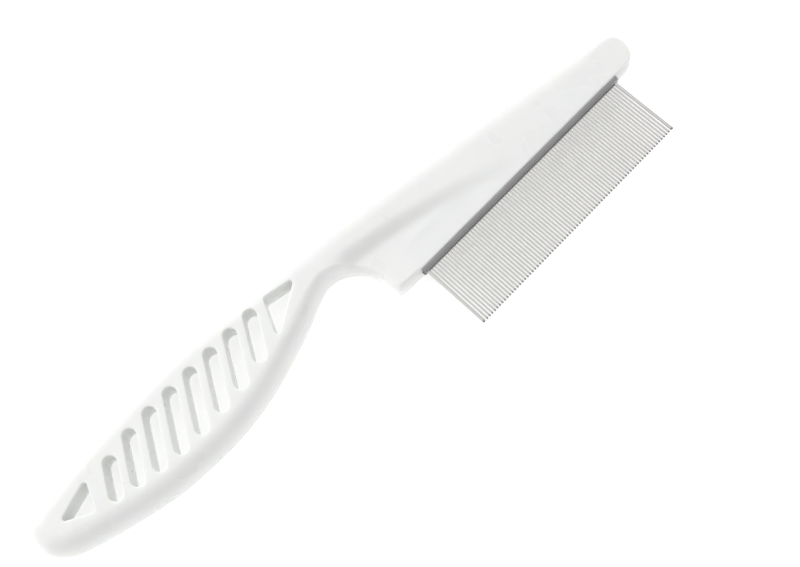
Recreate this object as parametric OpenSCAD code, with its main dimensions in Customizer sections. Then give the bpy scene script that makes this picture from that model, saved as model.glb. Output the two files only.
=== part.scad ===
// Flea comb. A one-piece moulded plastic handle and head hold a folded steel channel, and
// the channel holds a row of straight steel wire teeth between two thicker guard pins.
// The comb lies on its flat back: X runs along the row from heel to toe, the teeth point
// to -Y, and +Z is up. Lengths are worked out from the first guard pin (x = 0), the tooth
// edge (y = 0) and the plane of the wires (z = 0), then moved to the frame's origin, the
// middle of the resting face.

/* [Teeth] */
// Number of wire teeth in one node
teeth_per_node = 3; // [1:1:3]
// Number of tooth nodes
tooth_nodes = 25; // [15:1:25]
// Distance from one thin tooth to the next
tooth_pitch = 0.8; // [0.7:0.05:0.8]
// Diameter of a thin tooth
tooth_d = 0.5; // [0.4:0.05:0.5]
// Diameter of the guard pin at each end of the row
guard_d = 0.85; // [0.7:0.05:0.85]
// Distance from a guard pin to its neighbouring thin tooth
guard_gap = 1.0; // [0.9:0.05:1]
// Length of tooth that stands out of the head
tooth_out = 17.6; // [10:0.2:25]
// Length of tooth held inside the head
tooth_in = 5.3; // [4:0.1:5.4]

/* [Head and handle] */
// Height of the handle's flat top above the wires
panel_z = 4; // [3.4:0.1:6]
// Height of the head's top at the tooth edge above the wires
edge_z = 1.9; // [1.8:0.1:2.4]
// Depth of the flat back below the wires
back_z = 3.2; // [2.6:0.1:4]
// How far the web sinks below the tooth edge's height
web_dip = 0.25; // [0:0.05:0.3]
// Radius where the sides meet the flat back
back_r = 0.4; // [0.2:0.1:1.2]

/* [Handle slots] */
// Distance between slots along X
slot_pitch = 5.86; // [5.5:0.02:5.9]
// Width across a slot
slot_w = 3.1; // [2:0.1:3.6]
// Angle between the slots and X
slot_angle = 60; // [55:1:70]

/* [Tooth channel] */
// Sheet thickness of the folded channel
sheet_t = 0.5; // [0.3:0.05:0.5]
// Outer height of the channel
channel_h = 2.6; // [2.4:0.1:2.8]
// How far the channel's lips stand out of the tooth edge
channel_proud = 0.9; // [0.5:0.05:1.1]
// Outer radius of the rolled lips
lip_r = 1.0; // [0.9:0.1:1.2]
// Depth from the tooth edge to the pocket's floor
pocket_depth = 6.2; // [6:0.1:7]

/* [Hidden] */
tooth_count = teeth_per_node * tooth_nodes;
row_length = 2 * guard_gap + (tooth_count - 1) * tooth_pitch;
row_margin = 0.95;
mouth_gap = guard_d + 0.05;
bore_clear = 0.01;
spacer_front = lip_r - channel_proud + 0.1;
spacer_back = spacer_front + 1.4;
spline_step = 3.6;
fill_rows = 7;
fine = 48;
over = 1;

tooth_names = [for (i = [1:tooth_nodes]) str("teeth_", i < 10 ? "0" : "", i)];

// Plan of the moulding, butt to toe: a point on the lower side and its partner above it.
stations = [
    [[-98.5, 17.0], [-98.5, 17.0]],
    [[-97.9, 13.6], [-97.8, 20.2]],
    [[-95.2, 10.7], [-95.0, 22.5]],
    [[-90.2, 8.6], [-89.8, 23.8]],
    [[-82.0, 6.2], [-82.0, 25.0]],
    [[-72.0, 3.9], [-72.0, 25.9]],
    [[-62.0, 3.0], [-61.0, 26.6]],
    [[-52.0, 3.1], [-51.0, 26.7]],
    [[-42.5, 4.6], [-41.0, 25.8]],
    [[-33.0, 7.4], [-32.0, 24.7]],
    [[-25.5, 10.1], [-24.0, 23.9]],
    [[-20.5, 12.3], [-18.0, 23.3]],
    [[-16.8, 13.2], [-13.0, 22.7]],
    [[-13.5, 12.4], [-9.0, 22.2]],
    [[-11.3, 10.8], [-6.0, 21.7]],
    [[-9.4, 8.4], [-3.0, 21.2]],
    [[-8.3, 5.4], [0.0, 20.7]],
    [[-8.1, 2.1], [3.0, 20.2]],
    [[-7.6, 0.5], [6.0, 19.7]],
    [[-5.0, 0.0], [9.0, 19.2]],
    [[-2.0, 0.0], [12.0, 18.7]],
    [[62.0, 0.0], [59.0, 10.7]],
    [[65.0, 0.0], [63.0, 10.0]],
    [[67.9, 0.5], [67.0, 9.1]],
    [[69.7, 2.4], [69.4, 7.7]],
    [[70.2, 5.5], [70.2, 5.5]]
];
// Distance from the side to where the top levels out, as [x, width]
dome_lower = [[-98.5, 4.4], [-90, 4.2], [-42, 3.9], [-25, 3.2], [-17, 2.4],
              [-11, 1.3], [-3, 1.0], [0, 0.5], [66, 0.5], [70.2, 0.8]];
dome_upper = [[-98.5, 4.4], [-90, 4.8], [-10, 5.0], [12, 4.4], [59, 3.8],
              [66, 2.0], [70.2, 0.8]];
// Height of the ridge that carries on from the handle along the spine, as [x, height]
ridge_top = [[-14, panel_z], [34, edge_z]];
// Lowest and highest y of each slot, butt end first
slot_ends = [[10.3, 19.1], [9.2, 20.4], [8.2, 20.8], [7.6, 20.8],
             [7.5, 20.8], [7.9, 20.8], [8.5, 20.8], [9.9, 20.8]];
slot_first_x = -78;
slot_mid_y = 14.4;
butt_opening = [[-90.0, 15.8], [-83.0, 17.9], [-85.1, 13.1]];
neck_opening = [[-32.3, 12.5], [-29.1, 19.4], [-23.2, 18.2]];
opening_r = 0.6;

last = len(stations) - 1;
loop = concat([for (i = [0:last]) stations[i][0]],
              [for (i = [last - 1:-1:1]) stations[i][1]]);

function at(i) = loop[(i + len(loop)) % len(loop)];
function chord(i) = norm(at(i + 1) - at(i));
// Direction of the outline at a station, weighted towards the nearer neighbour
function heading(i) = (chord(i) * (at(i) - at(i - 1)) / chord(i - 1)
    + chord(i - 1) * (at(i + 1) - at(i)) / chord(i)) / (chord(i - 1) + chord(i));
// Point a fraction t along the curved stretch from station i to the next
function along(i, t) = (2 * t * t * t - 3 * t * t + 1) * at(i)
    + (t * t * t - 2 * t * t + t) * chord(i) * heading(i)
    + (3 * t * t - 2 * t * t * t) * at(i + 1)
    + (t * t * t - t * t) * chord(i) * heading(i + 1);
// Both sides of a stretch take the same number of steps, so that they pair up
function steps(i) = ceil(max(chord(i), chord(2 * last - 1 - i)) / spline_step);
function stretch(i) = i < last ? i : 2 * last - 1 - i;
outline = [for (i = [0:2 * last - 1]) for (k = [0:steps(stretch(i)) - 1])
    along(i, k / steps(stretch(i)))];
n_out = len(outline);
n_half = n_out / 2;

function edge_point(i) = outline[(i + n_out) % n_out];
function inward(i) = let (d = edge_point(i + 1) - edge_point(i - 1)) [-d.y, d.x] / norm(d);
function dome_w(i) = lookup(edge_point(i).x, i > n_half ? dome_upper : dome_lower);
function smooth(t) = let (c = min(max(t, 0), 1)) c * c * (3 - 2 * c);

// Top surface: a ridge from the neck along the spine, and a lower web inside the heel
valley_half = 2.0;
valley_start = -15;
valley_run_in = 6;
web_reach = 9;
function valley_y(x) = 11.7 - 0.2 * x - 0.0028 * x * x;
function web_z(y) = edge_z - web_dip * smooth(y / web_reach);
function top_z(p) = let (crest = lookup(p.x, ridge_top),
        up = smooth((p.y - valley_y(p.x) + valley_half) / (2 * valley_half)),
        open = smooth((p.x - valley_start) / valley_run_in))
    crest - (crest - web_z(p.y)) * (1 - up) * open;

// Rings of the side from the back up to the level top, each placed by [inset, height]
back_rings = 3;
back_step = 90 / (back_rings - 1);
dome_step = 15;
n_rings = back_rings + 90 / dome_step + 1;
function ring_spot(i, k) = k < back_rings
    ? let (a = back_step * k) [back_r * (1 - sin(a)), back_r * (1 - cos(a)) - back_z]
    : let (a = dome_step * (k - back_rings), w = dome_w(i),
           crown = edge_point(i) + w * inward(i))
      [w * (1 - cos(a)), top_z(crown) * sin(a)];
rings = [for (k = [0:n_rings - 1]) for (i = [0:n_out - 1])
    let (s = ring_spot(i, k), p = edge_point(i) + s[0] * inward(i)) [p.x, p.y, s[1]]];
crown_from = (n_rings - 1) * n_out;

function crown(i) = rings[crown_from + (i + n_out) % n_out];
fill = [for (j = [1:n_half - 1]) for (m = [1:fill_rows - 1])
    let (p = crown(j) + (crown(n_out - j) - crown(j)) * m / fill_rows)
    [p.x, p.y, top_z(p)]];
function fill_index(j, m) = m == 0 ? crown_from + j
    : m == fill_rows ? crown_from + n_out - j
    : n_rings * n_out + (j - 1) * (fill_rows - 1) + m - 1;

side_faces = [for (k = [0:n_rings - 2]) for (i = [0:n_out - 1])
    let (a = k * n_out, b = a + n_out, next = (i + 1) % n_out)
    [a + i, b + i, b + next, a + next]];
back_faces = concat([[0, 1, n_out - 1], [n_half - 1, n_half, n_half + 1]],
    [for (j = [1:n_half - 2]) [j, j + 1, n_out - j - 1, n_out - j]]);
top_faces = concat(
    [for (m = [0:fill_rows - 1]) [crown_from, fill_index(1, m + 1), fill_index(1, m)]],
    [for (j = [1:n_half - 2]) for (m = [0:fill_rows - 1])
        [fill_index(j, m), fill_index(j, m + 1),
         fill_index(j + 1, m + 1), fill_index(j + 1, m)]],
    [for (m = [0:fill_rows - 1])
        [fill_index(n_half - 1, m), fill_index(n_half - 1, m + 1), crown_from + n_half]]);

outline_x = [for (p = outline) p.x];
outline_y = [for (p = outline) p.y];
to_frame = [-(min(outline_x) + max(outline_x)) / 2, -(max(outline_y) - tooth_out) / 2,
            back_z];

pocket_from = -row_margin;
pocket_length = row_length + 2 * row_margin;
channel_bore = channel_h - 2 * sheet_t;
channel_bend = channel_h / 2 - lip_r;
channel_inside = pocket_depth - sheet_t;

// X of tooth i, where 0 and tooth_count + 1 are the guard pins
function tooth_x(i) = i == 0 ? 0 : i > tooth_count ? row_length
    : guard_gap + (i - 1) * tooth_pitch;
function pin_d(i) = i == 0 || i > tooth_count ? guard_d : tooth_d;

// A profile drawn in Y and Z, carried along X for the whole length of the pocket
module along_row() {
    translate([pocket_from, 0, 0])
        rotate([90, 0, 90])
            linear_extrude(pocket_length) children();
}

module moulding() {
    polyhedron(points = concat(rings, fill),
               faces = concat(back_faces, side_faces, top_faces),
               convexity = 8);
}

module slot(i) {
    ends = slot_ends[i];
    mid_y = (ends[0] + ends[1]) / 2;
    reach = ((ends[1] - ends[0]) / 2 - slot_w / 2) / sin(slot_angle);
    mid_x = slot_first_x + i * slot_pitch + (mid_y - slot_mid_y) / tan(slot_angle);
    translate([mid_x, mid_y, -back_z - over])
        rotate([0, 0, slot_angle])
            linear_extrude(back_z + panel_z + 2 * over) {
                square([2 * reach, slot_w], center = true);
                for (side = [-1, 1])
                    translate([side * reach, 0]) circle(d = slot_w, $fn = fine);
            }
}

module corner_opening(corners) {
    translate([0, 0, -back_z - over])
        linear_extrude(back_z + panel_z + 2 * over)
            hull()
                for (c = corners)
                    translate(c) circle(r = opening_r, $fn = 24);
}

module handle() {
    color("white")
        difference() {
            moulding();
            for (i = [0:len(slot_ends) - 1])
                slot(i);
            corner_opening(butt_opening);
            corner_opening(neck_opening);
            translate([pocket_from, -over, -channel_h / 2])
                cube([pocket_length, pocket_depth + over, channel_h]);
        }
}

// The channel's section, grown inwards by inset to give its inside
module channel_section(inset) {
    half = channel_bend;
    nose = lip_r - channel_proud;
    translate([nose, -channel_h / 2 + inset])
        square([pocket_depth - inset - nose, channel_h - 2 * inset]);
    translate([inset - channel_proud, -half])
        square([lip_r - inset, 2 * half]);
    for (side = [-1, 1])
        translate([nose, side * half]) circle(r = lip_r - inset, $fn = fine);
}

module tooth_channel() {
    color("silver")
        along_row()
            difference() {
                channel_section(0);
                channel_section(sheet_t);
                translate([-channel_proud - over, -mouth_gap / 2])
                    square([lip_r + over, mouth_gap]);
            }
}

// A bar inside the channel, from one depth to another, bored for every tooth
module bored_bar(front, back) {
    difference() {
        along_row()
            translate([front, -channel_bore / 2])
                square([back - front, channel_bore]);
        for (i = [0:tooth_count + 1])
            translate([tooth_x(i), min(back + over, tooth_in), 0])
                rotate([90, 0, 0])
                    cylinder(d = pin_d(i) + 2 * bore_clear, h = tooth_in, $fn = fine);
    }
}

module spacer_strip() {
    color("dimgray") bored_bar(spacer_front, spacer_back);
}

module bonding_resin() {
    color("khaki") bored_bar(spacer_back, channel_inside);
}

// A straight wire with a ball tip
module pin(i) {
    d = pin_d(i);
    translate([tooth_x(i), tooth_in, 0])
        rotate([90, 0, 0]) {
            cylinder(d = d, h = tooth_in + tooth_out - d / 2, $fn = fine);
            translate([0, 0, tooth_in + tooth_out - d / 2])
                sphere(d = d, $fn = fine);
        }
}

module teeth(group) {
    color("gainsboro")
        for (i = [1:teeth_per_node])
            pin(group * teeth_per_node + i);
}

module guard_pin(i) {
    color("gainsboro") pin(i);
}

translate(to_frame) {
    handle();
    tooth_channel();
    spacer_strip();
    bonding_resin();
    for (group = [0:tooth_nodes - 1])
        teeth(group);
    guard_pin(0);  // guard_pin_heel
    guard_pin(tooth_count + 1);  // guard_pin_toe
}
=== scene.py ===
"""Flea comb: a white moulded handle and head with a steel tooth channel and wire teeth.

The plan and heights of the moulding are in millimetres from the comb's own datum: x from
the heel guard pin along the row, y from the tooth edge into the head, and z from the plane
of the wires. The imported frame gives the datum's place, and every mesh is put in metres.
"""

import math

import bpy
import numpy as np
from mathutils import Euler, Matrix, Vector
from mathutils.geometry import delaunay_2d_cdt


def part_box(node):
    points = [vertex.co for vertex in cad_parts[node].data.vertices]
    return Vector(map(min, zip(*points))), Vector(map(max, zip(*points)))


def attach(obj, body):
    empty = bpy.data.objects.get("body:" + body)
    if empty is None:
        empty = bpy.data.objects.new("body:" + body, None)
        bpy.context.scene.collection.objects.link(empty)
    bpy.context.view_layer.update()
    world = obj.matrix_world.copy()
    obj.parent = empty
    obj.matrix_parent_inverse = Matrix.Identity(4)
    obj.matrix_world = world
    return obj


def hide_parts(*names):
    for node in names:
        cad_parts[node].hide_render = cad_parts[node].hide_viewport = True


bl_info = {
    "name": "Flea Comb",
    "version": (1, 0, 0),
    "blender": (4, 5, 0),
    "location": "3D View > Sidebar > Flea Comb",
    "description": "Builds a flea comb's moulding, finishes its steel parts and lights it",
    "category": "Add Mesh",
}

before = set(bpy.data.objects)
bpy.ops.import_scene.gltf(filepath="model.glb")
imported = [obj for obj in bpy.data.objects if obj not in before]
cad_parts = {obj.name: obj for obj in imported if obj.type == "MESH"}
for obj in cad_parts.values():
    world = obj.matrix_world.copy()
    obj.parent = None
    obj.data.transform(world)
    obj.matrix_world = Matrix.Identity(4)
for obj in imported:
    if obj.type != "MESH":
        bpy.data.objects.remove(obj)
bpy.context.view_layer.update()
MM = 0.001

# Plan of the moulding, butt to toe: a point on the lower side and its partner above it.
STATIONS = np.array([
    [[-98.5, 17.0], [-98.5, 17.0]],
    [[-97.9, 13.6], [-97.8, 20.2]],
    [[-95.2, 10.7], [-95.0, 22.5]],
    [[-90.2, 8.6], [-89.8, 23.8]],
    [[-82.0, 6.2], [-82.0, 25.0]],
    [[-72.0, 3.9], [-72.0, 25.9]],
    [[-62.0, 3.0], [-61.0, 26.6]],
    [[-52.0, 3.1], [-51.0, 26.7]],
    [[-42.5, 4.6], [-41.0, 25.8]],
    [[-33.0, 7.4], [-32.0, 24.7]],
    [[-25.5, 10.1], [-24.0, 23.9]],
    [[-20.5, 12.3], [-18.0, 23.3]],
    [[-16.8, 13.2], [-13.0, 22.7]],
    [[-13.5, 12.4], [-9.0, 22.2]],
    [[-11.3, 10.8], [-6.0, 21.7]],
    [[-9.4, 8.4], [-3.0, 21.2]],
    [[-8.3, 5.4], [0.0, 20.7]],
    [[-8.1, 2.1], [3.0, 20.2]],
    [[-7.6, 0.5], [6.0, 19.7]],
    [[-5.0, 0.0], [9.0, 19.2]],
    [[-2.0, 0.0], [12.0, 18.7]],
    [[62.0, 0.0], [59.0, 10.7]],
    [[65.0, 0.0], [63.0, 10.0]],
    [[67.9, 0.5], [67.0, 9.1]],
    [[69.7, 2.4], [69.4, 7.7]],
    [[70.2, 5.5], [70.2, 5.5]],
])
TOOTH_EDGE_STATION = 20
# Distance from the side to where the top levels out, as x and width
DOME_LOWER = np.array([[-98.5, 4.4], [-90, 4.2], [-42, 3.9], [-25, 3.2], [-17, 2.4],
                       [-11, 1.3], [-3, 1.0], [0, 0.5], [66, 0.5], [70.2, 0.8]]).T
DOME_UPPER = np.array([[-98.5, 4.4], [-90, 4.8], [-10, 5.0], [12, 4.4], [59, 3.8],
                       [66, 2.0], [70.2, 0.8]]).T
# Slots of the grip, and the three-cornered opening at each end of their row
SLOT_ENDS = np.array([[10.3, 19.1], [9.2, 20.4], [8.2, 20.8], [7.6, 20.8],
                      [7.5, 20.8], [7.9, 20.8], [8.5, 20.8], [9.9, 20.8]])
SLOT_FIRST_X = -78.0
SLOT_PITCH = 5.86
SLOT_MID_Y = 14.4
SLOT_WIDTH = 3.1
SLOT_ANGLE = math.radians(60)
OPENINGS = [[[-85.1, 13.1], [-83.0, 17.9], [-90.0, 15.8]],
            [[-23.2, 18.2], [-29.1, 19.4], [-32.3, 12.5]]]
OPENING_RADIUS = 0.6
# Heights: the grip's top, the tooth edge's top and how far the web behind it sinks
PANEL_Z = 4.0
EDGE_Z = 1.9
RIDGE_X = (-14.0, 34.0)
WEB_DIP = 0.25
WEB_REACH = 9.0
# The valley's line as a curve in x: the square's, the straight and the fixed share of its y
VALLEY_LINE = (-0.0028, -0.2, 11.7)
VALLEY_HALF = 2.0
VALLEY_START = -15.0
VALLEY_RUN_IN = 6.0
# The pocket that holds the channel, and how far it runs past the guard pins
POCKET_DEPTH = 6.2
POCKET_HALF = 1.3
ROW_MARGIN = 0.95
# Steps of the mesh round a rim, up the dome's foot, over its crown, into the pocket, and
# down a hole's wall and its flare
ROUND_POINTS = 6
FOOT_STEPS = 3
CROWN_RINGS = 6
POCKET_STEPS = 4
WALL_STEPS = 4
FLARE_STEPS = 3
# Angle of the dome at which the side's rows end and the fill of the top begins
FILL_ANGLE = math.radians(64)
# Spacing of the fill's inner points from the rims, the dome's crown and the side
RIM_BESIDE = 0.25
RING_CLEAR = 0.42
GRID_CLEAR = 0.6
CROWN_CLEAR = 0.3
SIDE_CLEAR = 0.2
# The same on the flat back: the ring beside a back rim, the ring beside the outer edge and
# the grid from both
BACK_RIM_BESIDE = 0.2
BACK_EDGE_BESIDE = 0.3
BACK_CLEAR = 0.9
# Angle between faces above which an edge is shaded sharp
SHARP_ANGLE = math.radians(38)
# Parts of the masks' range over which a finish changes
SHADE_SPAN = (0.35, 0.65)
DULL_SPAN = (0.12, 0.42)
PLASTIC_IOR = 1.49
# The camera's place from the comb's datum in millimetres and its turn in degrees
CAMERA_PLACE = (-47.62, -62.44, 232.43)
CAMERA_TURN = (17.716, 4.185, -45.662)
# The soft box's place in metres, and the share of up or down Y over which the sky changes
SOFT_BOX_PLACE = (-0.25, 1.0, 1.1)
SKY_SHARE = 0.8


class CombSizes(bpy.types.PropertyGroup):
    """Sizes of the moulding's edges and of its mesh"""

    back_radius: bpy.props.FloatProperty(
        name="Back radius", description="Radius where the sides meet the flat back",
        default=0.4 * MM, unit="LENGTH")
    rim_radius: bpy.props.FloatProperty(
        name="Rim radius", description="Rounding of the slots' upper rims",
        default=0.3 * MM, unit="LENGTH")
    back_rim_radius: bpy.props.FloatProperty(
        name="Back rim radius", description="Rounding of the slots' rims in the back",
        default=0.15 * MM, unit="LENGTH")
    waist_height: bpy.props.FloatProperty(
        name="Slot waist height", description="Height of the slots' narrowest line",
        default=-0.5 * MM, unit="LENGTH")
    flare: bpy.props.FloatProperty(
        name="Slot flare", description="How far the slots open from there to the back",
        default=0.25 * MM, unit="LENGTH")
    dome_start: bpy.props.FloatProperty(
        name="Dome start", description="Angle by which the domed side leans in at its foot",
        default=math.radians(9), subtype="ANGLE")
    parting_height: bpy.props.FloatProperty(
        name="Parting ridge height", description="How far the parting line stands out",
        default=0.05 * MM, unit="LENGTH")
    parting_half: bpy.props.FloatProperty(
        name="Parting ridge half width", description="Half width of the parting line",
        default=0.08 * MM, unit="LENGTH")
    column_step: bpy.props.FloatProperty(
        name="Column step", description="Mesh step along the outline",
        default=0.6 * MM, unit="LENGTH")
    top_step: bpy.props.FloatProperty(
        name="Top step", description="Mesh step over the top",
        default=0.8 * MM, unit="LENGTH")
    back_step: bpy.props.FloatProperty(
        name="Back step", description="Mesh step over the flat back",
        default=2.0 * MM, unit="LENGTH")


class CombFinish(bpy.types.PropertyGroup):
    """Colours of the comb's materials"""

    plastic: bpy.props.FloatVectorProperty(
        name="Plastic", description="Colour of the moulding", subtype="COLOR", size=3,
        default=(0.90, 0.91, 0.893))
    wire: bpy.props.FloatVectorProperty(
        name="Wire", description="Colour of the drawn wire", subtype="COLOR", size=3,
        default=(0.74, 0.73, 0.715))
    channel: bpy.props.FloatVectorProperty(
        name="Channel", description="Colour of the rolled strip", subtype="COLOR", size=3,
        default=(0.46, 0.45, 0.46))
    spacer: bpy.props.FloatVectorProperty(
        name="Spacer", description="Colour of the spacer strip", subtype="COLOR", size=3,
        default=(0.035, 0.035, 0.04))
    resin: bpy.props.FloatVectorProperty(
        name="Resin", description="Colour of the set resin", subtype="COLOR", size=3,
        default=(0.42, 0.30, 0.12))


class CombStage(bpy.types.PropertyGroup):
    """Floor, light and camera"""

    floor_size: bpy.props.FloatProperty(
        name="Floor size", description="Side of the square floor", default=4.0,
        unit="LENGTH")
    sky_front: bpy.props.FloatProperty(
        name="Front sky", description="Strength of the white surround on the teeth's side",
        default=0.56)
    sky_back: bpy.props.FloatProperty(
        name="Back sky", description="Strength of the white surround beyond the spine",
        default=0.94)
    floor_glow: bpy.props.FloatProperty(
        name="Floor glow", description="Strength of the light table's own light", default=0.42)
    key_power: bpy.props.FloatProperty(
        name="Key power", description="Power of the soft box beyond the spine", default=7.9,
        unit="POWER")
    key_size: bpy.props.FloatProperty(
        name="Key size", description="Side of the square soft box", default=1.0,
        unit="LENGTH")
    lens: bpy.props.FloatProperty(
        name="Lens", description="Focal length in millimetres", default=50.6)


def smooth(t):
    """Eases from 0 to 1: 3 t squared less 2 t cubed, held at its ends."""
    held = np.clip(t, 0, 1)
    return held * held * (3 - 2 * held)


def top_height(points):
    """Height of the level top: a ridge from the neck along the spine whose height falls
    evenly towards the toe, eased down across a curved valley line to a lower web."""
    x, y = points[..., 0], points[..., 1]
    crest = np.interp(x, RIDGE_X, (PANEL_Z, EDGE_Z))
    web = EDGE_Z - WEB_DIP * smooth(y / WEB_REACH)
    up = smooth((y - np.polyval(VALLEY_LINE, x) + VALLEY_HALF) / (2 * VALLEY_HALF))
    opened = smooth((x - VALLEY_START) / VALLEY_RUN_IN)
    return crest - (crest - web) * (1 - up) * opened


def closed_curve(points, per_stretch):
    """Cubic curve through the points of a closed loop. The heading at a point is the mean
    of the directions of its two chords, weighted towards the nearer neighbour."""
    after = np.roll(points, -1, axis=0) - points
    chord = np.linalg.norm(after, axis=1, keepdims=True)
    unit = after / chord
    chord_before, unit_before = np.roll(chord, 1, axis=0), np.roll(unit, 1, axis=0)
    heading = (chord * unit_before + chord_before * unit) / (chord + chord_before)
    t = np.linspace(0, 1, per_stretch, endpoint=False)[None, :, None]
    start, end = points[:, None], np.roll(points, -1, axis=0)[:, None]
    leave = (chord * heading)[:, None]
    arrive = (chord * np.roll(heading, -1, axis=0))[:, None]
    curve = ((2 * t**3 - 3 * t**2 + 1) * start + (t**3 - 2 * t**2 + t) * leave
             + (3 * t**2 - 2 * t**3) * end + (t**3 - t**2) * arrive)
    return curve.reshape(-1, 2)


class Outline:
    """The moulding's outline, counter-clockwise from the butt: points an even step apart
    with a column at each end of the pocket, the inward direction and the dome's width."""

    PER_STRETCH = 40

    def __init__(self, step, pocket_x):
        loop = np.concatenate([STATIONS[:, 0], STATIONS[-2:0:-1, 1]])
        curve = closed_curve(loop, self.PER_STRETCH)
        turned = np.roll(curve, -1, axis=0) - np.roll(curve, 1, axis=0)
        normal = np.stack([-turned[:, 1], turned[:, 0]], axis=1)
        normal /= np.linalg.norm(normal, axis=1, keepdims=True)
        closed = np.concatenate([curve, curve[:1]])
        closed_normal = np.concatenate([normal, normal[:1]])
        arc = np.concatenate([[0], np.cumsum(np.linalg.norm(np.diff(closed, axis=0), axis=1))])
        toe = (len(STATIONS) - 1) * self.PER_STRETCH
        row = slice(TOOTH_EDGE_STATION * self.PER_STRETCH,
                    (TOOTH_EDGE_STATION + 2) * self.PER_STRETCH)
        pocket = np.interp(pocket_x, closed[row, 0], arc[row])
        stops = [0, pocket[0], pocket[1], arc[toe], arc[-1]]
        at, counts = [], []
        for start, end in zip(stops[:-1], stops[1:]):
            counts.append(math.ceil((end - start) / step))
            at.append(np.linspace(start, end, counts[-1], endpoint=False))
        at = np.concatenate(at)
        self.points = np.stack([np.interp(at, arc, closed[:, k]) for k in (0, 1)], axis=1)
        inward = np.stack([np.interp(at, arc, closed_normal[:, k]) for k in (0, 1)], axis=1)
        self.inward = inward / np.linalg.norm(inward, axis=1, keepdims=True)
        upper = at > arc[toe]
        self.dome = np.where(upper, np.interp(self.points[:, 0], *DOME_UPPER),
                             np.interp(self.points[:, 0], *DOME_LOWER))
        self.crown_height = top_height(self.points + self.dome[:, None] * self.inward)
        self.pocket_columns = (counts[0], counts[0] + counts[1])
        self.step = step

    def inset(self, distance):
        """The outline moved inwards by a distance, which may differ along it."""
        return self.points + np.broadcast_to(distance, len(self.points))[:, None] * self.inward

    def nearest(self, points):
        """Inward distance of each point from the outline, and where along the outline it
        lies: the nearest column and the share of a step past it."""
        gap = points[:, None].astype(np.float32) - self.points[None].astype(np.float32)
        column = np.argmin((gap**2).sum(axis=2), axis=1)
        inward = self.inward[column]
        forward = np.stack([inward[:, 1], -inward[:, 0]], axis=1)
        away = points - self.points[column]
        past = np.clip((away * forward).sum(axis=1) / self.step, -0.5, 0.5)
        return (away * inward).sum(axis=1), column + past

    def along(self, values, place):
        """Values held for the columns, read off between them at a place along the outline."""
        ring = np.concatenate([values[-1:], values, values[:1]])
        return np.interp(place, np.arange(-1, len(values) + 1), ring)


class Dome:
    """The domed side: an ellipse from the parting line to the level top, taken from an
    angle above its widest point, so that it leans in from its foot."""

    def __init__(self, outline, start):
        self.outline = outline
        self.start = start

    def spot(self, angle):
        """Inset and height of the dome at an angle, from its start to a right angle."""
        across = 1 - np.cos(angle) / math.cos(self.start)
        up = (np.sin(angle) - math.sin(self.start)) / (1 - math.sin(self.start))
        return self.outline.dome * across, self.outline.crown_height * up

    def angle_at(self, height):
        """Angle at which the dome reaches a height."""
        up = height / self.outline.crown_height
        return np.arcsin(up * (1 - math.sin(self.start)) + math.sin(self.start))

    def height(self, points):
        """Height of the whole top over any points: the dome near the side, and the level
        top further in."""
        distance, place = self.outline.nearest(points)
        width = self.outline.along(self.outline.dome, place)
        crown = self.outline.along(self.outline.crown_height, place)
        share = np.clip(1 - distance / width, 0, 1)
        rise = np.sqrt(1 - (share * math.cos(self.start))**2) - math.sin(self.start)
        domed = crown * rise / (1 - math.sin(self.start))
        return np.where(share > 0, domed, top_height(points))


class Hole:
    """A hole with round corners: the corners, counter-clockwise, and their radius."""

    ARC_STEP = 0.22
    EDGE_STEP = 0.6

    def __init__(self, corners, radius):
        self.corners = np.array(corners, dtype=float)
        self.radius = radius
        edge = np.roll(self.corners, -1, axis=0) - self.corners
        length = np.linalg.norm(edge, axis=1)
        facing = np.arctan2(-edge[:, 0], edge[:, 1])
        core, angle = [], []
        for i, corner in enumerate(self.corners):
            turn = (facing[i] - facing[i - 1]) % (2 * math.pi)
            count = math.ceil(turn * (radius + 0.3) / self.ARC_STEP) + 1
            core.append(np.repeat(corner[None], count, axis=0))
            angle.append(facing[i - 1] + np.linspace(0, turn, count))
            share = np.linspace(0, 1, math.ceil(length[i] / self.EDGE_STEP) + 1)[1:-1]
            core.append(corner + share[:, None] * edge[i])
            angle.append(np.full(len(share), facing[i]))
        self.core = np.concatenate(core)
        angle = np.concatenate(angle)
        self.outward = np.stack([np.cos(angle), np.sin(angle)], axis=1)

    def ring(self, offset):
        """The hole's edge moved outwards by an offset."""
        return self.core + (self.radius + offset) * self.outward

    def gap(self, points):
        """Distance of each point from the hole's edge: from the nearest side between two
        corners, nought inside the corners, less the radius."""
        side = np.roll(self.corners, -1, axis=0) - self.corners
        there = points[:, None] - self.corners
        share = np.clip((there * side).sum(axis=2) / (side**2).sum(axis=1), 0, 1)
        apart = np.linalg.norm(there - share[..., None] * side, axis=2).min(axis=1)
        cross = side[:, 0] * there[..., 1] - side[:, 1] * there[..., 0]
        return np.where((cross > 0).all(axis=1), 0, apart) - self.radius


def comb_holes():
    """The grip's slanted slots, whose ends lie at given heights, and its two openings."""
    low, high = SLOT_ENDS[:, 0], SLOT_ENDS[:, 1]
    mid_y = (low + high) / 2
    mid_x = (SLOT_FIRST_X + SLOT_PITCH * np.arange(len(SLOT_ENDS))
             + (mid_y - SLOT_MID_Y) / math.tan(SLOT_ANGLE))
    reach = ((high - low) / 2 - SLOT_WIDTH / 2) / math.sin(SLOT_ANGLE)
    along = np.array([math.cos(SLOT_ANGLE), math.sin(SLOT_ANGLE)])
    middle = np.stack([mid_x, mid_y], axis=1)
    ends = np.stack([middle - reach[:, None] * along, middle + reach[:, None] * along], axis=1)
    return ([Hole(pair, SLOT_WIDTH / 2) for pair in ends]
            + [Hole(corners, OPENING_RADIUS) for corners in OPENINGS])


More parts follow.
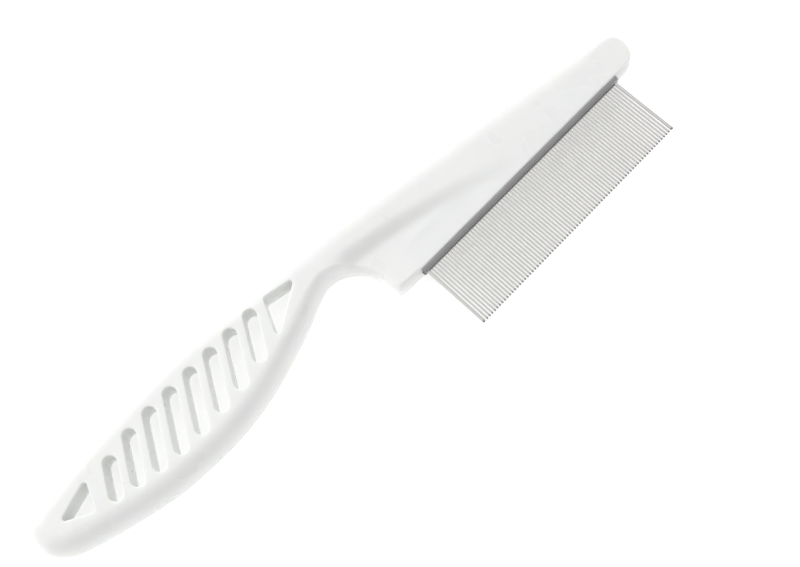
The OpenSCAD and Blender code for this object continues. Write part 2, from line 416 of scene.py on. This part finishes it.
def quads(rows, columns, closed=False, flip=False):
    """Faces of a grid of points held row by row, wound from the columns to the rows."""
    last = columns if closed else columns - 1
    row, column = np.meshgrid(np.arange(rows - 1), np.arange(last), indexing="ij")
    here = row * columns + column
    beside = row * columns + (column + 1) % columns
    faces = np.stack([here, beside, beside + columns, here + columns], axis=-1)
    faces = faces.reshape(-1, 4)
    return faces[:, ::-1] if flip else faces


class Shell:
    """Patches of one closed mesh, joined where their points meet."""

    JOIN = 5

    def __init__(self):
        self.points, self.faces, self.count = [], [], 0

    def add(self, points, faces):
        """Adds one patch: its points in millimetres and its faces' corner numbers."""
        self.points.append(points)
        self.faces.append(faces + self.count)
        self.count += len(points)

    def mesh(self, name, datum):
        """Joins equal points and writes the mesh in metres from the datum."""
        points = np.concatenate(self.points)
        used = np.unique(np.concatenate([patch.ravel() for patch in self.faces]))
        _, first, same = np.unique(np.round(points[used], self.JOIN), axis=0,
                                   return_index=True, return_inverse=True)
        joined = np.zeros(len(points), dtype=int)
        joined[used] = same.reshape(-1)
        faces = [face for patch in self.faces for face in joined[patch].tolist()]
        mesh = bpy.data.meshes.new(name)
        mesh.from_pydata((points[used[first]] * MM + datum).tolist(), [], faces)
        mesh.update()
        return mesh


def filled(loops, inner):
    """Triangles between closed loops of points, with inner points taken in: a constrained
    Delaunay triangulation. Gives the points and faces, wound counter-clockwise."""
    flat = np.concatenate(loops + [inner])
    edges, start = [], 0
    for loop in loops:
        numbers = start + np.arange(len(loop))
        edges.append(np.stack([numbers, np.roll(numbers, -1)], axis=1))
        start += len(loop)
    made = delaunay_2d_cdt([Vector(p) for p in flat.tolist()],
                           np.concatenate(edges).tolist(), [], 1, 1e-7)
    source = np.array([near[0] for near in made[3]])
    return flat, source[np.array(made[2])]


def spread(points, step):
    """Points of a staggered grid over the box of some points, a step apart, alternate rows
    half a step on."""
    low, high = points.min(axis=0), points.max(axis=0)
    x, y = np.meshgrid(np.arange(low[0], high[0], step),
                       np.arange(low[1], high[1], step * math.sqrt(3) / 2))
    x = x + (np.arange(len(x)) % 2)[:, None] * step / 2
    return np.stack([x.ravel(), y.ravel()], axis=1)


def heights(points, z):
    """Plan points with their heights."""
    return np.concatenate([points, np.broadcast_to(z, len(points))[:, None]], axis=1)


def hole_gap(holes, points):
    """Distance of each point from the nearest hole's edge."""
    return np.min([hole.gap(points) for hole in holes], axis=0)


def quarter_round(radius):
    """Points of a quarter round from its flat end to its upright end: the distance in from
    the upright face and the distance from the flat face."""
    turn = np.linspace(0, math.pi / 2, ROUND_POINTS)
    return radius * (1 - np.sin(turn)), radius * (1 - np.cos(turn))


def between(start, end, steps):
    """Rings that part the way from start to end into equal steps, without the two ends."""
    return [start + (end - start) * k / steps for k in range(1, steps)]


def side_profile(dome, sizes, back_z):
    """The side's profile from the back up, as insets and heights: a quarter round, an
    upright wall, a fine ridge at the parting line and the foot of the dome. Gives the
    profile and the first and last of its rows at the pocket."""
    inset, rise = quarter_round(sizes.back_radius / MM)
    rows = list(zip(inset, back_z + rise))
    pocket_low = len(rows)
    ridge_half = sizes.parting_half / MM
    rows += [(0, -POCKET_HALF), (0, -POCKET_HALF / 2), (0, -ridge_half),
             (-sizes.parting_height / MM, 0)]
    foot, knee = dome.angle_at(ridge_half), dome.angle_at(POCKET_HALF)
    rows += [dome.spot(foot + (knee - foot) * k / FOOT_STEPS)
             for k in range(FOOT_STEPS + 1)]
    pocket_high = len(rows) - 1
    rows += [dome.spot(knee + (FILL_ANGLE - knee) * k / FOOT_STEPS)
             for k in range(1, FOOT_STEPS + 1)]
    return rows, (pocket_low, pocket_high)


def add_side(shell, outline, rows, pocket_rows):
    """The side's profile carried round the outline, and the walls and floor of the pocket
    behind the opening that is left in the tooth edge."""
    low, high = pocket_rows
    first, last = outline.pocket_columns
    n = len(outline.points)
    side = np.stack([heights(outline.inset(inset), z) for inset, z in rows])
    faces = quads(len(rows), n, closed=True).reshape(len(rows) - 1, n, 4)
    keep = np.ones((len(rows) - 1, n), dtype=bool)
    keep[low:high, first:last] = False
    shell.add(side.reshape(-1, 3), faces[keep])

    mouth = side[low:high + 1, first:last + 1]
    deep = np.array(mouth)
    deep[..., 1] = POCKET_DEPTH
    share = np.linspace(0, 1, POCKET_STEPS + 1)[:, None, None]
    for edge, floor, flip in ((mouth[0], deep[0], False), (mouth[-1], deep[-1], True),
                              (mouth[:, 0], deep[:, 0], True),
                              (mouth[:, -1], deep[:, -1], False)):
        wall = edge + (floor - edge) * share
        shell.add(wall.reshape(-1, 3), quads(len(share), wall.shape[1], flip=flip))
    shell.add(deep.reshape(-1, 3), quads(*mouth.shape[:2]))


def add_top(shell, outline, dome, holes, last_row, sizes):
    """The top, filled in between the side's last row and the holes' rims through rings of
    the dome, a staggered grid and a ring beside each rim."""
    rim_r = sizes.rim_radius / MM
    side_inset, side_z = last_row
    angles = np.linspace(FILL_ANGLE, math.pi / 2, CROWN_RINGS + 1)[1:]
    rings = np.concatenate([outline.inset(dome.spot(angle)[0]) for angle in angles])
    rings = rings[hole_gap(holes, rings) > rim_r + RING_CLEAR]
    grid = spread(outline.points, sizes.top_step / MM)
    distance, place = outline.nearest(grid)
    grid = grid[(hole_gap(holes, grid) > rim_r + GRID_CLEAR)
                & (distance > outline.along(outline.dome, place) + CROWN_CLEAR)]
    beside = np.concatenate([hole.ring(rim_r + RIM_BESIDE) for hole in holes])
    distance, place = outline.nearest(beside)
    beside = beside[distance > outline.along(side_inset, place) + SIDE_CLEAR]
    loops = [outline.inset(side_inset)] + [hole.ring(rim_r) for hole in holes]
    points, faces = filled(loops, np.concatenate([rings, grid, beside]))
    faces = faces[hole_gap(holes, points[faces].mean(axis=1)) > rim_r]
    z = dome.height(points)
    z[:len(outline.points)] = side_z
    shell.add(heights(points, z), faces)


def add_hole(shell, hole, dome, sizes, back_z):
    """A hole's wall carried round its edge: the upper rim, a wall down to its narrowest
    line, a flare towards the back and the back rim."""
    flare = sizes.flare / MM
    offset, drop = quarter_round(sizes.rim_radius / MM)
    plans = [hole.ring(out) for out in offset]
    rings = [heights(plan, dome.height(plan) - down) for plan, down in zip(plans, drop)]
    offset, rise = quarter_round(sizes.back_rim_radius / MM)
    foot = [heights(hole.ring(flare + out), back_z + up)
            for out, up in zip(offset[::-1], rise[::-1])]
    waist = heights(hole.ring(0), sizes.waist_height / MM)
    rings += between(rings[-1], waist, WALL_STEPS) + [waist]
    rings += between(waist, foot[0], FLARE_STEPS) + foot
    shell.add(np.concatenate(rings), quads(len(rings), len(hole.core), closed=True))


def add_back(shell, outline, holes, sizes, back_z):
    """The flat back, filled in between its outer edge and the holes' back rims."""
    back_r = sizes.back_radius / MM
    rim = sizes.flare / MM + sizes.back_rim_radius / MM
    beside = np.concatenate([hole.ring(rim + BACK_RIM_BESIDE) for hole in holes]
                            + [outline.inset(back_r + BACK_EDGE_BESIDE)])
    grid = spread(outline.points, sizes.back_step / MM)
    distance, _ = outline.nearest(grid)
    grid = grid[(hole_gap(holes, grid) > rim + BACK_CLEAR)
                & (distance > back_r + BACK_CLEAR)]
    loops = [outline.inset(back_r)] + [hole.ring(rim) for hole in holes]
    points, faces = filled(loops, np.concatenate([beside, grid]))
    faces = faces[hole_gap(holes, points[faces].mean(axis=1)) > rim]
    shell.add(heights(points, back_z), faces[:, ::-1])


def build_body(sizes, datum, row_length):
    """The moulding as one closed shell: its side with the pocket, its top, the walls of
    its holes and its flat back, which meet point for point."""
    back_z = -datum[2] / MM
    outline = Outline(sizes.column_step / MM, (-ROW_MARGIN, row_length + ROW_MARGIN))
    dome = Dome(outline, sizes.dome_start)
    holes = comb_holes()
    shell = Shell()
    rows, pocket_rows = side_profile(dome, sizes, back_z)
    add_side(shell, outline, rows, pocket_rows)
    add_top(shell, outline, dome, holes, rows[-1], sizes)
    for hole in holes:
        add_hole(shell, hole, dome, sizes, back_z)
    add_back(shell, outline, holes, sizes, back_z)
    return shell.mesh("comb_body", datum)


def new_group(name, inputs, outputs):
    """An empty shader node group with its sockets: inputs as name, kind and default."""
    tree = bpy.data.node_groups.new(name, "ShaderNodeTree")
    for label, kind, default in inputs:
        socket = tree.interface.new_socket(label, in_out="INPUT", socket_type=kind)
        if default is not None:
            socket.default_value = default
    for label in outputs:
        tree.interface.new_socket(label, in_out="OUTPUT", socket_type="NodeSocketFloat")
    return tree, tree.nodes.new("NodeGroupInput"), tree.nodes.new("NodeGroupOutput")


def add_math(tree, operation, first, second):
    """A Math node on two inputs, each a socket or a number. Gives its output."""
    node = tree.nodes.new("ShaderNodeMath")
    node.operation = operation
    for socket, value in zip(node.inputs, (first, second)):
        if isinstance(value, (int, float)):
            socket.default_value = value
        else:
            tree.links.new(value, socket)
    return node.outputs[0]


def add_noise(tree, coordinates, scale, detail):
    """A noise texture read at coordinates. Gives its value output."""
    node = tree.nodes.new("ShaderNodeTexNoise")
    node.inputs["Detail"].default_value = detail
    tree.links.new(coordinates, node.inputs["Vector"])
    if isinstance(scale, (int, float)):
        node.inputs["Scale"].default_value = scale
    else:
        tree.links.new(scale, node.inputs["Scale"])
    return node.outputs["Fac"]


def moulded_skin_group():
    """Skin of a moulded or cast piece: its relief, a broad sway with a fine grain added,
    and a shade mask that follows the sway alone."""
    tree, given, out = new_group("Moulded Skin", [
        ("Coordinates", "NodeSocketVector", None),
        ("Broad Scale", "NodeSocketFloat", 60.0),
        ("Fine Scale", "NodeSocketFloat", 900.0),
        ("Fine Share", "NodeSocketFloat", 0.3),
    ], ["Height", "Shade"])
    broad = add_noise(tree, given.outputs["Coordinates"], given.outputs["Broad Scale"],
                      detail=2.0)
    fine = add_noise(tree, given.outputs["Coordinates"], given.outputs["Fine Scale"],
                     detail=1.0)
    grain = add_math(tree, "MULTIPLY", fine, given.outputs["Fine Share"])
    tree.links.new(add_math(tree, "ADD", broad, grain), out.inputs["Height"])
    tree.links.new(broad, out.inputs["Shade"])
    return tree


def drawn_lines_group():
    """Lines left along drawn or rolled metal: noise stretched along the working direction,
    with a blotchy mask of where the surface is duller."""
    tree, given, out = new_group("Drawn Lines", [
        ("Coordinates", "NodeSocketVector", None),
        ("Line Scale", "NodeSocketVector", (9000.0, 60.0, 9000.0)),
        ("Blotch Scale", "NodeSocketFloat", 250.0),
    ], ["Lines", "Dull"])
    stretch = tree.nodes.new("ShaderNodeVectorMath")
    stretch.operation = "MULTIPLY"
    tree.links.new(given.outputs["Coordinates"], stretch.inputs[0])
    tree.links.new(given.outputs["Line Scale"], stretch.inputs[1])
    lines = add_noise(tree, stretch.outputs["Vector"], 1.0, detail=3.0)
    blotch = add_noise(tree, given.outputs["Coordinates"], given.outputs["Blotch Scale"],
                       detail=3.0)
    tree.links.new(lines, out.inputs["Lines"])
    tree.links.new(add_math(tree, "MULTIPLY", lines, blotch), out.inputs["Dull"])
    return tree


def new_material(name):
    """A material with a Principled shader. Gives the material, its tree and the shader."""
    material = bpy.data.materials.new(name)
    material.use_nodes = True
    tree = material.node_tree
    return material, tree, tree.nodes["Principled BSDF"]


def place_group(tree, group, values):
    """Puts a shared group into a material, fed with Object coordinates and the values."""
    node = tree.nodes.new("ShaderNodeGroup")
    node.node_tree = group
    coordinates = tree.nodes.new("ShaderNodeTexCoord")
    tree.links.new(coordinates.outputs["Object"], node.inputs["Coordinates"])
    for label, value in values.items():
        node.inputs[label].default_value = value
    return node


def ramp(tree, factor, low, high, span=(0.0, 1.0)):
    """Colours or values from low to high as the factor crosses the span."""
    node = tree.nodes.new("ShaderNodeValToRGB")
    for element, place, value in zip(node.color_ramp.elements, span, (low, high)):
        element.position = place
        value = tuple(value) if not isinstance(value, (int, float)) else (value,) * 3
        element.color = (*value, 1.0)
    tree.links.new(factor, node.inputs["Fac"])
    return node.outputs["Color"]


def shaded(colour, factor):
    """A colour made darker or lighter by a factor."""
    return [channel * factor for channel in colour]


def add_bump(tree, shader, height, distance):
    """Relief on a shader's normal, its full height a distance in metres."""
    node = tree.nodes.new("ShaderNodeBump")
    node.inputs["Distance"].default_value = distance
    tree.links.new(height, node.inputs["Height"])
    tree.links.new(node.outputs["Normal"], shader.inputs["Normal"])


def plastic_material(name, colour, groups, rough, distance, depth=0.0):
    """Moulded plastic: soft gloss with a faint sway and grain, and light let in to a
    depth where one is given."""
    material, tree, shader = new_material(name)
    skin = place_group(tree, groups["skin"], {
        "Broad Scale": 90.0, "Fine Scale": 1400.0, "Fine Share": 0.05})
    tree.links.new(ramp(tree, skin.outputs["Shade"], shaded(colour, 0.985), colour,
                        SHADE_SPAN), shader.inputs["Base Color"])
    tree.links.new(ramp(tree, skin.outputs["Shade"], rough - 0.04, rough + 0.05,
                        SHADE_SPAN), shader.inputs["Roughness"])
    shader.inputs["IOR"].default_value = PLASTIC_IOR
    if depth:
        shader.inputs["Subsurface Weight"].default_value = 1.0
        shader.inputs["Subsurface Radius"].default_value = (1.0, 1.0, 0.9)
        shader.inputs["Subsurface Scale"].default_value = depth
    add_bump(tree, shader, skin.outputs["Height"], distance)
    return material


def steel_material(name, colour, groups, rough, line_scale):
    """Drawn or rolled steel: fine lines along the working direction."""
    material, tree, shader = new_material(name)
    lines = place_group(tree, groups["lines"], {"Line Scale": line_scale})
    tree.links.new(ramp(tree, lines.outputs["Dull"], shaded(colour, 0.88), colour,
                        DULL_SPAN), shader.inputs["Base Color"])
    tree.links.new(ramp(tree, lines.outputs["Dull"], rough + 0.12, rough,
                        DULL_SPAN), shader.inputs["Roughness"])
    shader.inputs["Metallic"].default_value = 1.0
    add_bump(tree, shader, lines.outputs["Lines"], 0.004 * MM)
    return material


def tip_shade_mask(tree, tip_y, reach):
    """Mask of the painted shade at the teeth's tips: 1 at the tips, falling to 0 a reach away
    from them.
    """
    coordinates = tree.nodes.new("ShaderNodeTexCoord")
    parts = tree.nodes.new("ShaderNodeSeparateXYZ")
    tree.links.new(coordinates.outputs["Object"], parts.inputs[0])
    span = tree.nodes.new("ShaderNodeMapRange")
    for label, value in (("From Min", tip_y), ("From Max", tip_y + reach),
                         ("To Min", 1.0), ("To Max", 0.0)):
        span.inputs[label].default_value = value
    tree.links.new(parts.outputs["Y"], span.inputs["Value"])
    return span.outputs["Result"]


def paint_tip_shade(material, tip_y, reach, colour):
    """Painted shade: mixes a darker colour into a material's own towards the teeth's tips,
    standing in for the shade and dark reflection on their rounded ends, which face down away
    from the light.
    """
    tree = material.node_tree
    socket = tree.nodes["Principled BSDF"].inputs["Base Color"]
    mix = tree.nodes.new("ShaderNodeMix")
    mix.data_type = "RGBA"
    tree.links.new(tip_shade_mask(tree, tip_y, reach), mix.inputs["Factor"])
    tree.links.new(socket.links[0].from_socket, mix.inputs["A"])
    mix.inputs["B"].default_value = (*colour, 1.0)
    tree.links.new(mix.outputs["Result"], socket)


def shared_groups():
    """The shader node groups that the materials share, built once."""
    found = bpy.data.node_groups
    return {
        "skin": found.get("Moulded Skin") or moulded_skin_group(),
        "lines": found.get("Drawn Lines") or drawn_lines_group(),
    }


def set_material(piece, material):
    """Gives a piece one material in place of all it has."""
    piece.data.materials.clear()
    piece.data.materials.append(material)


def pin_centre(node):
    """Middle of a straight piece's box, in metres."""
    low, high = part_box(node)
    return (low + high) / 2


def comb_datum():
    """The comb's own datum in the frame, in metres: the heel guard pin's middle, the tooth
    edge found from the back of the channel, and the plane of the wires."""
    heel = pin_centre("guard_pin_heel")
    tooth_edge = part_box("tooth_channel")[1].y - POCKET_DEPTH * MM
    return np.array([heel.x, tooth_edge, heel.z])


class COMB_OT_body(bpy.types.Operator):
    """Builds the moulded handle and head"""

    bl_idname = "comb.body"
    bl_label = "Moulded Body"

    def execute(self, context):
        datum = comb_datum()
        row_length = (pin_centre("guard_pin_toe").x - datum[0]) / MM
        mesh = build_body(context.scene.comb_sizes, datum, row_length)
        body = bpy.data.objects.new("comb_body", mesh)
        context.scene.collection.objects.link(body)
        mesh.shade_smooth()
        mesh.set_sharp_from_angle(angle=SHARP_ANGLE)
        finish = context.scene.comb_finish
        set_material(body, plastic_material(
            "white_moulding", finish.plastic, shared_groups(), rough=0.3,
            distance=0.006 * MM, depth=0.6 * MM))
        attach(body, "root")
        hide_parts("handle")
        return {"FINISHED"}


class COMB_OT_teeth(bpy.types.Operator):
    """Finishes the wire teeth and the two guard pins"""

    bl_idname = "comb.teeth"
    bl_label = "Wire Teeth"

    def execute(self, context):
        steel = steel_material("drawn_wire", context.scene.comb_finish.wire,
                               shared_groups(), rough=0.24,
                               line_scale=(9000.0, 90.0, 9000.0))
        # Painted shade at the teeth's tips: the wire's colour is darkened to near black over
        # the last half millimetre
        paint_tip_shade(steel, tip_y=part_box("teeth_01")[0].y, reach=0.5 * MM,
                    colour=(0.08, 0.08, 0.085))
        names = [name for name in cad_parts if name.startswith(("teeth_", "guard_pin_"))]
        for name in sorted(names):
            set_material(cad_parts[name], steel)
        return {"FINISHED"}


class COMB_OT_channel(bpy.types.Operator):
    """Finishes the folded channel that holds the teeth"""

    bl_idname = "comb.channel"
    bl_label = "Tooth Channel"

    def execute(self, context):
        steel = steel_material("rolled_strip", context.scene.comb_finish.channel,
                               shared_groups(), rough=0.36,
                               line_scale=(60.0, 5000.0, 5000.0))
        set_material(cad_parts["tooth_channel"], steel)
        return {"FINISHED"}


class COMB_OT_core(bpy.types.Operator):
    """Finishes the spacer strip and the resin inside the channel"""

    bl_idname = "comb.core"
    bl_label = "Spacer and Resin"

    def execute(self, context):
        finish, groups = context.scene.comb_finish, shared_groups()
        set_material(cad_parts["spacer_strip"], plastic_material(
            "spacer_black", finish.spacer, groups, rough=0.6, distance=0.02 * MM))
        set_material(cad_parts["bonding_resin"], plastic_material(
            "set_resin", finish.resin, groups, rough=0.25, distance=0.01 * MM))
        return {"FINISHED"}


class COMB_OT_stage(bpy.types.Operator):
    """Lays the floor and sets the light and the camera"""

    bl_idname = "comb.stage"
    bl_label = "Stage"

    def execute(self, context):
        scene, stage = context.scene, context.scene.comb_stage
        half = stage.floor_size / 2
        side = np.linspace(-half, half, 5)
        x, y = np.meshgrid(side, side)
        mesh = bpy.data.meshes.new("floor")
        points = np.stack([x.ravel(), y.ravel(), np.zeros(x.size)], axis=1)
        mesh.from_pydata(points.tolist(), [], quads(len(side), len(side)).tolist())
        floor = bpy.data.objects.new("floor", mesh)
        scene.collection.objects.link(floor)
        material, tree, shader = new_material("pale_floor")
        skin = place_group(tree, shared_groups()["skin"], {"Broad Scale": 8.0})
        tree.links.new(ramp(tree, skin.outputs["Shade"], (0.93,) * 3, (0.95,) * 3),
                       shader.inputs["Base Color"])
        shader.inputs["Roughness"].default_value = 0.9
        shader.inputs["Specular IOR Level"].default_value = 0.1
        shader.inputs["Emission Color"].default_value = (1.0, 1.0, 1.0, 1.0)
        shader.inputs["Emission Strength"].default_value = stage.floor_glow
        # The glow reaches the comb by bounced rays alone, which keeps its shade even
        material.cycles.emission_sampling = "NONE"
        set_material(floor, material)

        world = bpy.data.worlds.new("studio")
        world.use_nodes = True
        tree = world.node_tree
        background = tree.nodes["Background"]
        background.inputs["Color"].default_value = (1.0, 1.0, 1.0, 1.0)
        towards = tree.nodes.new("ShaderNodeTexCoord")
        parts = tree.nodes.new("ShaderNodeSeparateXYZ")
        tree.links.new(towards.outputs["Generated"], parts.inputs[0])
        span = tree.nodes.new("ShaderNodeMapRange")
        for label, value in (("From Min", -SKY_SHARE), ("From Max", SKY_SHARE),
                             ("To Min", stage.sky_front), ("To Max", stage.sky_back)):
            span.inputs[label].default_value = value
        tree.links.new(parts.outputs["Y"], span.inputs["Value"])
        tree.links.new(span.outputs["Result"], background.inputs["Strength"])
        scene.world = world
        light = bpy.data.lights.new("soft_box", "AREA")
        light.shape = "SQUARE"
        light.size = stage.key_size
        light.energy = stage.key_power
        box = bpy.data.objects.new("soft_box", light)
        box.location = SOFT_BOX_PLACE
        box.rotation_euler = (-Vector(box.location)).to_track_quat("-Z", "Y").to_euler()
        scene.collection.objects.link(box)

        lens = bpy.data.cameras.new("camera")
        lens.lens = stage.lens
        lens.clip_start, lens.clip_end = 0.01, 20.0
        camera = bpy.data.objects.new("camera", lens)
        camera.location = comb_datum() + np.array(CAMERA_PLACE) * MM
        camera.rotation_euler = Euler([math.radians(angle) for angle in CAMERA_TURN])
        scene.collection.objects.link(camera)
        scene.camera = camera
        scene.view_settings.view_transform = "Standard"
        return {"FINISHED"}


class COMB_PT_panel(bpy.types.Panel):
    """Lists the comb's settings and the steps that make it"""

    bl_label = "Flea Comb"
    bl_idname = "COMB_PT_panel"
    bl_space_type = "VIEW_3D"
    bl_region_type = "UI"
    bl_category = "Flea Comb"

    def draw(self, context):
        layout = self.layout
        for group in (context.scene.comb_sizes, context.scene.comb_finish,
                      context.scene.comb_stage):
            box = layout.box()
            for name in group.__annotations__:
                box.prop(group, name)
        for operator in OPERATORS:
            layout.operator(operator.bl_idname)


GROUPS = {"comb_sizes": CombSizes, "comb_finish": CombFinish, "comb_stage": CombStage}
OPERATORS = (COMB_OT_body, COMB_OT_teeth, COMB_OT_channel, COMB_OT_core, COMB_OT_stage)


def register():
    for group in GROUPS.values():
        bpy.utils.register_class(group)
    for operator in OPERATORS:
        bpy.utils.register_class(operator)
    bpy.utils.register_class(COMB_PT_panel)
    for name, group in GROUPS.items():
        setattr(bpy.types.Scene, name, bpy.props.PointerProperty(type=group))


def unregister():
    for name in GROUPS:
        delattr(bpy.types.Scene, name)
    bpy.utils.unregister_class(COMB_PT_panel)
    for operator in reversed(OPERATORS):
        bpy.utils.unregister_class(operator)
    for group in reversed(GROUPS.values()):
        bpy.utils.unregister_class(group)


def main():
    register()
    bpy.ops.comb.stage()
    bpy.ops.comb.body()
    bpy.ops.comb.teeth()
    bpy.ops.comb.channel()
    bpy.ops.comb.core()


if __name__ == "__main__":
    main()
